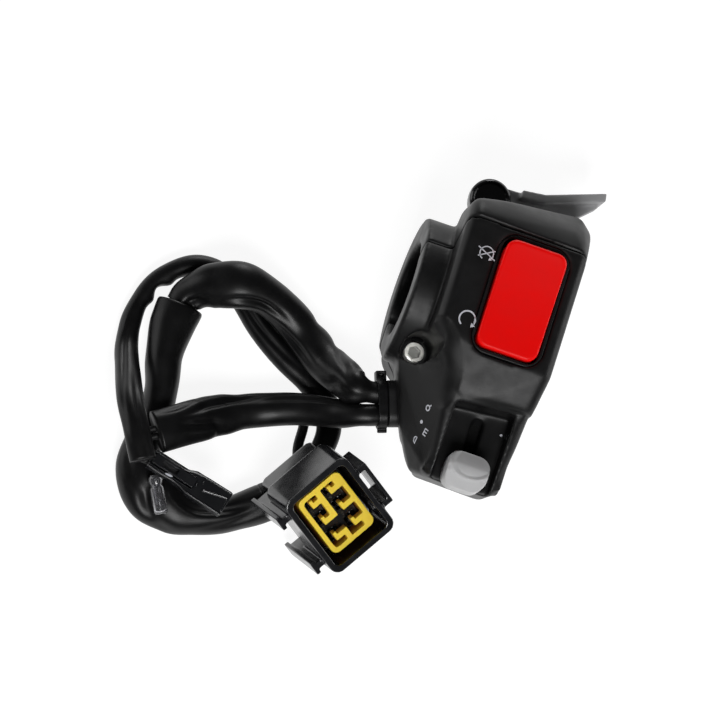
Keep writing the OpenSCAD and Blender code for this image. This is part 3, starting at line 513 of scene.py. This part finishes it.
inlinePlace = Matrix.Translation(Vector(inlinePlug["at"]) * mm) @ inlineTurn
inlineWires = {"radius": 0.75, "apart": 0.9,
               "route": [(-62, -50, -4.7), (-64.8, -51.8, -4.6), (-66, -54.2, -4.4), (-64.6, -56.2, -3.9),
                         tuple(inlinePlace @ Vector((-10.25 * mm, 0, 0)) / mm)]}


sideWire = {"radius": 1.2, "apart": 0,
            "route": [(-30.6, -25.2, -15.6), (-29.4, -30, -16), (-28.5, -35.3, -16), (-28.2, -40.9, -16),
                      (-26.4, -45.6, -15.4)]}


def thinWires(name, wires, sides):  # thin wires side by side on one route
    line = evenly(smoothRoute(wires["route"], 10), 0.4)[0]
    bm = bmesh.new()
    for side in sides:
        rings = []
        for i, point in enumerate(line):
            ahead = (line[min(i + 1, len(line) - 1)] - line[max(i - 1, 0)]).normalized()
            across = Vector((0, 0, 1)).cross(ahead).normalized()
            over = ahead.cross(across)
            middle = point + across * side * wires["apart"]
            rings.append([middle + (across * math.cos(a) + over * math.sin(a)) * wires["radius"]
                          for a in (2 * math.pi * k / 16 for k in range(16))])
        skinRings(bm, rings)
    bmesh.ops.recalc_face_normals(bm, faces=bm.faces)
    return addPiece(name, bm, "housing", looks["leadRubber"])


for name, node, cord in [("mainLead", "main_lead", mainLead), ("mainSleeve", "main_sleeve", mainSleeve),
                         ("lightLead", "light_lead", lightLead), ("branchLead", "branch_lead", branchLead)]:
    softTube(name, cord, node)
wirePair = thinWires("inlineWires", inlineWires, (-1, 1))
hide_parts("inline_wires")
loneWire = thinWires("sideWire", sideWire, (0,))


# housing

housing = {"voxel": 0.42, "rounds": 5}


def makeHousing():
    front = mouldedCopy("front_shell", "frontShell", "housing", looks["housingBlack"],
                        housing["voxel"], housing["rounds"])
    rear = mouldedCopy("rear_shell", "rearShell", "housing", looks["housingBlack"],
                       housing["voxel"], housing["rounds"])
    return front, rear


frontShell, rearShell = makeHousing()

pocketRidge = {"y": -26, "reach": 2.6, "left": 0.9, "right": 2.3, "x": (-0.8, 13.4), "low": 11.0,
               "before": 1, "after": 3, "fade": 1.5}


def slantPocket():  # upper edge of the slider pocket rises to the right
    first, last = pocketRidge["x"]
    for v in frontShell.data.vertices:
        x, y, z = v.co / mm
        if z > pocketRidge["low"]:
            beside = max(0.0, first - x - pocketRidge["before"], x - last - pocketRidge["after"])
            aside = beside / pocketRidge["fade"]
            along = (y - pocketRidge["y"]) / pocketRidge["reach"]
            rise = pocketRidge["left"] + (pocketRidge["right"] - pocketRidge["left"]) * share(first, last, x)
            v.co.y += rise * math.exp(-along ** 2 - aside * aside) * mm


crown = {"left": 1.3, "right": 0.3, "x": (-8, 16), "y": (17, 23), "z": (-4, 3)}
tuck = {"deep": 2.2, "x": (1, -7), "y": (-12, -19), "z": (5, -15)}
roll = {"high": 1.8, "from": 16.4, "to": 24.3, "toPerX": 0.19, "z": (8, 14)}


def trimHull():  # fuller, rolled crown at the top, and the lower left side tucked in
    for shell in (frontShell, rearShell):
        for v in shell.data.vertices:
            x, y, z = v.co / mm
            rise = crown["left"] + (crown["right"] - crown["left"]) * ease(*crown["x"], x)
            v.co.y += rise * ease(*crown["y"], y) * ease(*crown["z"], z) * mm
            v.co.x += tuck["deep"] * ease(*tuck["y"], y) * ease(*tuck["x"], x) * ease(*tuck["z"], z) * mm
            along = share(roll["from"], roll["to"] + roll["toPerX"] * x, y)
            v.co.z += roll["high"] * math.sin(math.pi * along) * ease(*roll["z"], z) * mm


softPatch = {"at": (440, 362), "wide": 22, "tall": 46, "rounds": 160, "facing": 0.2, "low": 8}


def softenHull():  # hard facets beside the face are blended
    back = viewAxes()[2]
    x, y = softPatch["at"]
    bm = bmesh.new()
    bm.from_mesh(frontShell.data)
    chosen = []
    for v in bm.verts:
        if v.normal.dot(back) > softPatch["facing"] and v.co.z > softPatch["low"] * mm:
            px, py = onPhoto(v.co)
            if math.hypot((px - x) / softPatch["wide"], (py - y) / softPatch["tall"]) < 1:
                chosen.append(v)
    evenOut(bm, chosen, softPatch["rounds"])
    bm.to_mesh(frontShell.data)
    bm.free()


slantPocket()
trimHull()
softenHull()
print("housing moulded")


# printed marks on the face and the flank, and one white dot (pip) painted as a highlight on the pocket wall, sizes in
# mm

marks = {"film": 0.05, "reach": 3, "lift": 0.01,
         "run": {"at": (467.3, 319), "ring": 1.9, "stroke": 0.36, "start": -50, "sweep": 268, "arrow": 0.95},
         "stop": {"at": (486.7, 253.3), "ring": 1.6, "stroke": 0.26, "start": -60, "sweep": 288, "arrow": 0.7},
         "lean": -40,
         "flank": {"lamp": (428, 408), "dot": (421.6, 421.8), "rays": (425.3, 432.6), "dish": (415.8, 440.3),
                   "pip": (501, 435.4)}}


def arcStroke(bm, radius, start, sweep, width):
    turn = Matrix.Rotation(math.radians(start), 3, "Z")
    a = bm.verts.new(turn @ Vector((radius - width / 2, 0, 0)))
    b = bm.verts.new(turn @ Vector((radius + width / 2, 0, 0)))
    edge = bm.edges.new((a, b))
    bmesh.ops.spin(bm, geom=[a, b, edge], cent=(0, 0, 0), axis=(0, 0, 1), dvec=(0, 0, 0),
                   angle=math.radians(sweep), steps=max(6, int(abs(sweep) / 8)), use_merge=False)


def barStroke(bm, start, end, width):
    a, b = Vector((*start, 0)), Vector((*end, 0))
    made = bmesh.ops.create_grid(bm, x_segments=8, y_segments=1, size=0.5)["verts"]
    turn = Matrix.Rotation(math.atan2(b.y - a.y, b.x - a.x), 4, "Z")
    place = Matrix.Translation((a + b) / 2) @ turn @ Matrix.Diagonal(((b - a).length, width, 1, 1))
    bmesh.ops.transform(bm, matrix=place, verts=made)


def arrowStroke(bm, tip, aim, size):
    forward = Vector((math.cos(math.radians(aim)), math.sin(math.radians(aim)), 0))
    side = Vector((-forward.y, forward.x, 0))
    tip = Vector((*tip, 0))
    base = tip - forward * size
    bm.faces.new([bm.verts.new(tip), bm.verts.new(base + side * size * 0.62),
                  bm.verts.new(base - side * size * 0.62)])


def surfaceOf(piece):
    bm = bmesh.new()
    bm.from_mesh(piece.data)
    tree = BVHTree.FromBMesh(bm)
    bm.free()
    return tree


def printMark(name, bm, tree, at, normal, right):  # lays flat strokes on the shell
    up = normal.cross(right).normalized()
    for v in bm.verts:
        flat = at + (right * v.co.x + up * v.co.y) * mm
        hit = tree.ray_cast(flat + normal * marks["reach"] * mm, -normal, 0.01)[0]
        v.co = (hit or flat) + normal * marks["lift"] * mm
    bmesh.ops.recalc_face_normals(bm, faces=bm.faces)
    for face in bm.faces:
        if face.normal.dot(normal) < 0:
            face.normal_flip()
    bmesh.ops.solidify(bm, geom=bm.faces, thickness=-marks["film"] * mm)
    bmesh.ops.recalc_face_normals(bm, faces=bm.faces)
    addPiece(name, bm, "housing", looks["markWhite"], smooth=False)


def ringArrow(mark):  # open ring with an arrow head on its lower right end
    bm = bmesh.new()
    ring, start = mark["ring"], math.radians(mark["start"])
    arcStroke(bm, ring, mark["start"], mark["sweep"], mark["stroke"])
    aim = mark["start"] - 90
    end = Vector((math.cos(start), math.sin(start))) * ring
    tip = end + Vector((math.cos(math.radians(aim)), math.sin(math.radians(aim)))) * mark["arrow"] * 0.8
    arrowStroke(bm, tuple(tip), aim, mark["arrow"])
    return bm


def makeMarks():
    tree = surfaceOf(frontShell)
    shapes = {"run": ringArrow(marks["run"]), "stop": ringArrow(marks["stop"])}
    barStroke(shapes["stop"], (-1.85, 1.7), (1.85, -1.7), marks["stop"]["stroke"])
    barStroke(shapes["stop"], (-2.05, -0.5), (2.1, 0.5), marks["stop"]["stroke"])
    for name in marks["flank"]:
        shapes[name] = bmesh.new()
    arcStroke(shapes["lamp"], 0.6, 0, 360, 0.3)
    barStroke(shapes["lamp"], (0.3, 0.55), (0.6, 1.2), 0.3)
    arcStroke(shapes["dot"], 0.22, 0, 360, 0.42)
    for y in (-0.75, 0, 0.75):
        barStroke(shapes["rays"], (-0.5, y), (0.6, y + 0.15), 0.28)
    barStroke(shapes["rays"], (-0.5, -0.88), (-0.5, 0.88), 0.28)
    arcStroke(shapes["dish"], 0.85, 90, 180, 0.28)
    barStroke(shapes["dish"], (0, -0.98), (0, 0.98), 0.28)
    # pip: a white dot painted as the highlight on a moulded pip, not print
    arcStroke(shapes["pip"], 0.16, 0, 360, 0.3)
    imageRight = viewAxes()[0]
    for name, bm in shapes.items():
        eye, aim = pixelRay(*(marks[name]["at"] if name in marks else marks["flank"][name]))
        at, normal = tree.ray_cast(eye, aim)[:2]
        across = (imageRight - normal * imageRight.dot(normal)).normalized()
        if name in marks["flank"]:
            across = Matrix.Rotation(math.radians(marks["lean"]), 3, normal) @ across
        printMark(name + "Mark", bm, tree, at, normal, across)


makeMarks()
print("marks printed")


# controls

controls = [
    ("stop_rocker", "stopRocker", "rocker", "stop_red", "stopRed", 0.24, 5),
    ("light_knob", "lightKnob", "slider", "knob_grey", "knobGrey", 0.15, 11),
    ("choke_lever", "chokeLever", "lever", "lever_grey", "leverGrey", 0.24, 4),
    ("lever_bolt", "leverBolt", "housing", "bolt_black", "boltBlack", 0.16, 3),
    ("rocker_frame", "rockerFrame", "housing", "frame_black", "frameBlack", 0.2, 2),
    ("exit_grommet", "exitGrommet", "housing", "lead_black", "leadRubber", 0.2, 4),
    ("cable_tie", "cableTie", "housing", "tie_black", "tieNylon", 0.16, 2),
]
controlPieces = {}
for node, name, body, slot, look, voxel, rounds in controls:
    controlPieces[name] = mouldedCopy(node, name, body, looks[look], voxel, rounds)

knobDish = {"at": (474.8, 461.5), "wide": 5.0, "tall": 3.9, "deep": 0.42, "edge": 0.16, "lip": 0.3,
            "lipAt": 1.07, "lipWide": 0.08, "even": 90, "evenTo": 1.3, "facing": 0.6}


def dishKnob():  # shallow thumb dish with a raised lip
    back = viewAxes()[2]
    step = view["field"] / view["pixels"]
    x, y = knobDish["at"]
    mesh = controlPieces["lightKnob"].data
    bm = bmesh.new()
    bm.from_mesh(mesh)

    def far(v):
        px, py = onPhoto(v.co)
        return math.hypot((px - x) * step / knobDish["wide"], (py - y) * step / knobDish["tall"])

    top = [v for v in bm.verts if v.normal.dot(back) > knobDish["facing"] and far(v) < knobDish["evenTo"]]
    evenOut(bm, top, knobDish["even"])
    bm.normal_update()
    for v in bm.verts:
        at = far(v)
        raised = knobDish["lip"] * math.exp(-((at - knobDish["lipAt"]) / knobDish["lipWide"]) ** 2)
        sink = knobDish["deep"] * ease(0, knobDish["edge"], 1.0 - at) - raised
        v.co -= back * sink * max(0.0, v.normal.dot(back)) * mm
    bm.to_mesh(mesh)
    bm.free()


dishKnob()

rockerLip = {"pin": (5.7, 0.9, 18), "tilt": 6, "reach": 1.4, "y": (5, 11), "z": (8.0, 8.7)}


def lipRocker():  # upper end carried out over the frame
    tilt = Matrix.Rotation(math.radians(rockerLip["tilt"]), 4, "X")
    turn = Matrix.Translation(Vector(rockerLip["pin"]) * mm) @ tilt
    back = turn.inverted()
    for v in controlPieces["stopRocker"].data.vertices:
        at = back @ v.co
        at.y += rockerLip["reach"] * ease(*rockerLip["z"], at.z / mm) * ease(*rockerLip["y"], at.y / mm) * mm
        v.co = turn @ at


lipRocker()

screws = {"head": 2.35, "tall": 2.4, "shank": 1.5, "socket": 1.28, "deep": 1.4, "bevel": 0.3,
          "places": [((-11.6, -14.4, 2), 0, 17.6), ((13, -16.8, -13.8), 180, 18.8)]}


def makeScrews():  # socket heads with a bevelled rim and a hexagon recess
    angles = [2 * math.pi * k / 48 for k in range(48)]
    hexagon = [screws["socket"] / math.cos((a + math.pi / 6) % (math.pi / 3) - math.pi / 6) for a in angles]
    head, bevel, tall = screws["head"], screws["bevel"], screws["tall"]
    bm = bmesh.new()
    paintedSocketShadeMask = bm.verts.layers.float.new("paintedSocketShadeMask")
    for at, flip, length in screws["places"]:
        rows = [(0.9, -length), (screws["shank"], -length + 0.6), (screws["shank"], 0), (head - 0.1, 0), (head, 0.1),
                (head, tall - bevel), (head - bevel * 0.3, tall - bevel * 0.3), (head - bevel, tall)]
        rings = [[(math.cos(a) * r, math.sin(a) * r, z) for a in angles] for r, z in rows]
        for scale, z in ((1.1, tall), (1.0, tall - 0.12), (1.0, tall - screws["deep"])):
            rings.append([(math.cos(a) * r * scale, math.sin(a) * r * scale, z) for a, r in zip(angles, hexagon)])
        place = Matrix.Translation(at) @ Matrix.Rotation(math.radians(flip), 4, "X")
        # the socket rows carry the mask of the painted shade
        for row in skinRings(bm, [[place @ Vector(p) for p in ring] for ring in rings])[-2:]:
            for v in row:
                v[paintedSocketShadeMask] = 1.0
    bmesh.ops.recalc_face_normals(bm, faces=bm.faces)
    for edge in bm.edges:
        edge.smooth = edge.calc_face_angle() < math.radians(35)
    piece = addPiece("clampScrews", bm, "housing", looks["screwSteel"])
    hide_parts("clamp_screws")


makeScrews()
print("controls made")


# connectors

connector = {"at": (-17, -57, 7.4), "tilt": 26, "turn": -46, "spin": 106, "front": -2.6, "deep": 2.4, "clear": 0.25}


def connectorFrame():
    turn = Matrix.Rotation(math.radians(connector["turn"]), 4, "Z")
    tilt = Matrix.Rotation(math.radians(connector["tilt"]), 4, "Y")
    spin = Matrix.Rotation(math.radians(connector["spin"]), 4, "Z")
    return Matrix.Translation(Vector(connector["at"]) * mm) @ turn @ tilt @ spin


plugs = [
    ("connector_housing", "connectorHousing", "connector_black", "connectorBlack", 0.2, 3, connectorFrame()),
    ("connector_retainer", "connectorRetainer", "retainer_yellow", "retainerYellow", 0.13, 3, connectorFrame()),
    ("connector_boot", "connectorBoot", "lead_black", "leadRubber", 0.3, 8, connectorFrame()),
    ("inline_housing", "inlineHousing", "connector_black", "connectorBlack", 0.14, 3, inlinePlace),
    ("inline_lock", "inlineLock", "connector_black", "connectorBlack", 0.1, 3, inlinePlace),
]
plugPieces = {}
for node, name, slot, look, voxel, rounds, place in plugs:
    plugPieces[name] = mouldedCopy(node, name, "housing", looks[look], voxel, rounds, place)


def shadeRetainer():  # how far each point lies behind the front, used as the mask of the painted amber shade
    piece = plugPieces["connectorRetainer"]
    back = connectorFrame().inverted()
    shade = piece.data.attributes.new("depth", "FLOAT", "POINT")
    for vertex, value in zip(piece.data.vertices, shade.data):
        below = connector["front"] - (back @ vertex.co).z / mm
        value.value = share(0, connector["deep"], below - connector["clear"])


shadeRetainer()

inlineTrim = {"top": 2.6, "bead": 0.26, "raised": 0.08, "pip": 0.34,
              # the pale oblong set by these entries is a painted highlight
              "glintEnds": ((-5.7, -1.65), (-3.8, -1.35)), "glintHalf": 0.28, "glintHigh": 0.1, "glintUp": 0.02,
              "beads": [[(-10.1, -2.15), (-6.4, -2.2), (-3.8, -2.1), (-1.6, -2.2), (0.8, -2.75), (4, -2.85),
                         (10, -2.85)],
                        [(-9.6, 1.6), (-5.8, 1.6), (-1.9, 1.68), (0, 2.35), (2.9, 2.7), (10, 2.8)],
                        [(3.5, -0.35), (6.5, 0.45), (9.2, 1.15), (9.75, 0.9), (9.9, -2.4)]],
              "pips": [(-7.4, -1.75), (1.9, 0.1), (3.0, 1.4)]}


def makeInlineTrim():  # moulded beads and pips on the upper face
    bm = bmesh.new()
    top = inlineTrim["top"]
    over = Vector((0, 0, 1))
    angles = [2 * math.pi * k / 10 for k in range(10)]
    for bead in inlineTrim["beads"]:
        line = evenly(smoothRoute([(x, y, top + inlineTrim["raised"]) for x, y in bead], 8), 0.25)[0]
        rings = []
        for i, point in enumerate(line):
            ahead = (line[min(i + 1, len(line) - 1)] - line[max(i - 1, 0)]).normalized()
            across = over.cross(ahead).normalized()
            thick = inlineTrim["bead"] * (0.4 if i in (0, len(line) - 1) else 1.0)
            ring = [point + (across * math.cos(a) + over * math.sin(a)) * thick for a in angles]
            rings.append([inlinePlace @ (q * mm) / mm for q in ring])
        skinRings(bm, rings)
    for x, y in inlineTrim["pips"]:
        made = bmesh.ops.create_uvsphere(bm, u_segments=12, v_segments=8, radius=inlineTrim["pip"] * mm)["verts"]
        bmesh.ops.translate(bm, verts=made, vec=inlinePlace @ (Vector((x, y, top)) * mm))
    bmesh.ops.recalc_face_normals(bm, faces=bm.faces)
    return addPiece("inlineTrim", bm, "housing", looks["connectorBlack"])


inlineBeads = makeInlineTrim()


def makePaintedInlineGlint():  # pale patch on the upper face, a painted highlight
    bm = bmesh.new()
    (x0, y0), (x1, y1) = inlineTrim["glintEnds"]
    ahead = Vector((x1 - x0, y1 - y0, 0))
    made = bmesh.ops.create_uvsphere(bm, u_segments=24, v_segments=12, radius=1.0)["verts"]
    shape = Matrix.Diagonal((ahead.length / 2, inlineTrim["glintHalf"], inlineTrim["glintHigh"], 1))
    turn = Matrix.Rotation(math.atan2(ahead.y, ahead.x), 4, "Z")
    height = inlineTrim["top"] + inlineTrim["glintUp"]
    place = Matrix.Translation(Vector(((x0 + x1) / 2, (y0 + y1) / 2, height)))
    bmesh.ops.transform(bm, verts=made, matrix=Matrix.Scale(mm, 4) @ place @ turn @ shape)
    bmesh.ops.transform(bm, verts=made, matrix=inlinePlace)
    return addPiece("paintedInlineGlint", bm, "housing", looks["markWhite"])


paintedInlineGlint = makePaintedInlineGlint()

bullet = {"at": (-59.3, -59.4, -6.6), "turn": -62,
          "rows": [(0.3, 8.7), (0.9, 8.6), (1.2, 8.2), (1.25, 3.4), (1.2, 3.0), (0.95, 2.7), (0.95, 2.3), (1.2, 1.9),
                   (1.3, 1.3), (1.15, 0.6), (0.95, 0.2), (1.1, 0.05), (1.35, 0.25), (1.55, 0.7), (1.65, 1.3),
                   (1.5, 2.0), (1.25, 2.35), (1.3, 2.6), (1.6, 2.9), (1.65, 3.4), (1.65, 8.2), (1.55, 8.8),
                   (1.3, 9.1), (0.7, 9.2)]}


def makeBullet():  # clear sleeve with a wall and a neck, closed at its lower end
    place = Matrix.Translation(bullet["at"]) @ Matrix.Rotation(math.radians(bullet["turn"]), 4, "Z")
    angles = [2 * math.pi * k / 32 for k in range(32)]
    bm = bmesh.new()
    skinRings(bm, [[place @ Vector((z, math.cos(a) * r, math.sin(a) * r)) for a in angles]
                   for r, z in bullet["rows"]])
    bmesh.ops.recalc_face_normals(bm, faces=bm.faces)
    piece = addPiece("bulletSleeve", bm, "housing", looks["bulletClear"])
    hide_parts("bullet_sleeve")
    return piece


bulletSleeve = makeBullet()
print("connectors made")


# the remaining solids keep their shape and take a finish

finishOf = {
    "rocker_pin": "screwSteel", "stop_switch_body": "innerPlastic", "stop_plunger": "plungerWhite",
    "stop_plunger_spring": "springSteel", "stop_blades": "contactBrass", "stop_detent_ball": "screwSteel",
    "stop_detent_spring": "springSteel", "light_carriage": "innerPlastic", "light_bridge": "contactBrass",
    "light_base": "innerPlastic", "light_contacts": "contactBrass", "light_base_screws": "screwSteel",
    "light_detent_ball": "screwSteel", "light_detent_spring": "springSteel", "lever_bush": "contactBrass",
    "lever_washer": "screwSteel", "inner_leads": "leadRubber", "connector_terminals": "terminalTin",
    "bullet_pin": "terminalTin",
}
for node, look in finishOf.items():
    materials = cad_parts[node].data.materials
    materials.clear()
    materials.append(looks[look])


print("cords skinned and finishes given")


# floor and light

studio = {"floor": -18.0, "white": (0.22, 0.22, 0.22), "sky": 0.06, "glow": 0.9}


def makeStudio():
    material, tree, shader = newMaterial("paleFloor")
    tones = mixNode(tree, rangeNode(tree, noiseNode(tree, objectCoords(tree), 6, 3.0), 0, 1),
                    studio["white"], tuple(0.985 * c for c in studio["white"]))
    tree.links.new(tones, shader.inputs["Base Color"])
    shader.inputs["Roughness"].default_value = 0.8
    shader.inputs["Emission Color"].default_value = (1, 1, 1, 1)
    shader.inputs["Emission Strength"].default_value = studio["glow"]
    bm = bmesh.new()
    bmesh.ops.create_grid(bm, x_segments=4, y_segments=4, size=8)
    bmesh.ops.translate(bm, verts=bm.verts, vec=(0, 0, studio["floor"] * mm - 0.0001))
    mesh = bpy.data.meshes.new("floor")
    bm.to_mesh(mesh)
    bm.free()
    floor = bpy.data.objects.new("floor", mesh)
    bpy.context.scene.collection.objects.link(floor)
    mesh.materials.append(material)
    world = bpy.data.worlds.new("studio")
    world.use_nodes = True
    world.node_tree.nodes["Background"].inputs["Color"].default_value = (1, 1, 1, 1)
    world.node_tree.nodes["Background"].inputs["Strength"].default_value = studio["sky"]
    bpy.context.scene.world = world
    bpy.context.scene.view_settings.view_transform = "Standard"


lamps = [
    {"name": "frontBox", "from": (0.1, -0.62, 0.85), "size": 0.4, "power": 7.5},
    {"name": "topBox", "from": (-0.15, 1.2, 0.14), "size": 0.42, "power": 4.5},
    {"name": "leftBox", "from": (-1.15, 0.1, 0.28), "size": 0.6, "power": 2.4},
    {"name": "rightBox", "from": (1.15, 0.25, 0.3), "size": 0.6, "power": 4},
    {"name": "screwSpot", "from": (-0.05, -0.09, 0.45), "size": 0.006, "power": 7, "cone": 1.05,
     "aim": (-11.6, -14.4, 4)},
]


def makeLamps():
    for lamp in lamps:
        light = bpy.data.lights.new(lamp["name"], "SPOT" if "cone" in lamp else "AREA")
        light.energy = lamp["power"]
        if "cone" in lamp:
            light.spot_size = math.radians(lamp["cone"])
            light.shadow_soft_size = lamp["size"]
        else:
            light.size = lamp["size"]
        holder = bpy.data.objects.new(lamp["name"], light)
        bpy.context.scene.collection.objects.link(holder)
        target = Vector(lamp.get("aim", view["lookAt"])) * mm
        holder.location = lamp["from"]
        holder.rotation_euler = (target - Vector(lamp["from"])).to_track_quat("-Z", "Y").to_euler()


makeStudio()
makeLamps()
print("studio lit")
